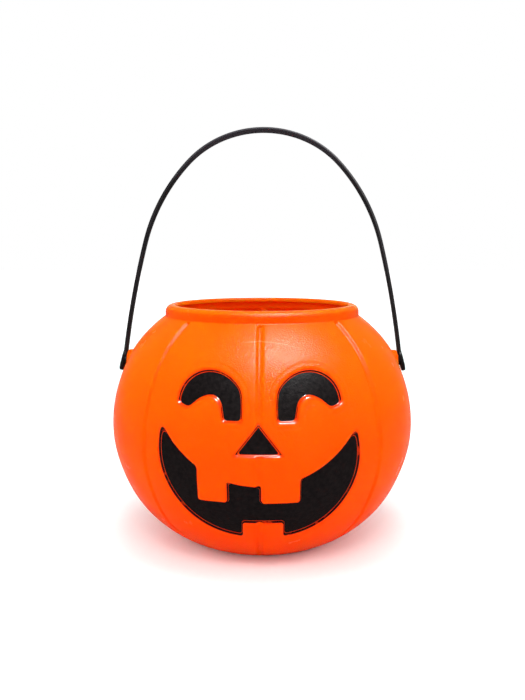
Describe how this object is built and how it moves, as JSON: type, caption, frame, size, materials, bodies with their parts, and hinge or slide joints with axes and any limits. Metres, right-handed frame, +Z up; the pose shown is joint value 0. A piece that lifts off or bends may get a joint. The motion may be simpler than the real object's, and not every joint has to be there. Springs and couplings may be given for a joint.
{
  "type": "pumpkin candy pail",
  "caption": "Round lobed pail with a recessed painted jack-o'-lantern face, an open collared mouth and a swinging strap handle snapped into side bosses, for carrying treats.",
  "frame": {"origin": "centre of the pail's base, on the plane it stands on", "axes": "+Z up along the pail's axis; the face looks towards -Y; the handle's hinge axis runs along X"},
  "size_m": [0.216, 0.216, 0.3022],
  "materials": {
    "pail_plastic": "satin orange moulded plastic",
    "handle_plastic": "glossy black moulded plastic",
    "face_paint": "satin black paint"
  },
  "bodies": {
    "pail": {"pail_body": "pail_plastic", "left_eye_paint": "face_paint", "right_eye_paint": "face_paint", "nose_paint": "face_paint", "mouth_paint": "face_paint"},
    "handle": {"handle": "handle_plastic"}
  },
  "joints": [
    {"name": "handle_swing", "type": "hinge", "parent": "pail", "child": "handle", "pos_m": [0, 0, 0.1275], "axis": [1, 0, 0], "range_deg": [-68, 108]}
  ]
}
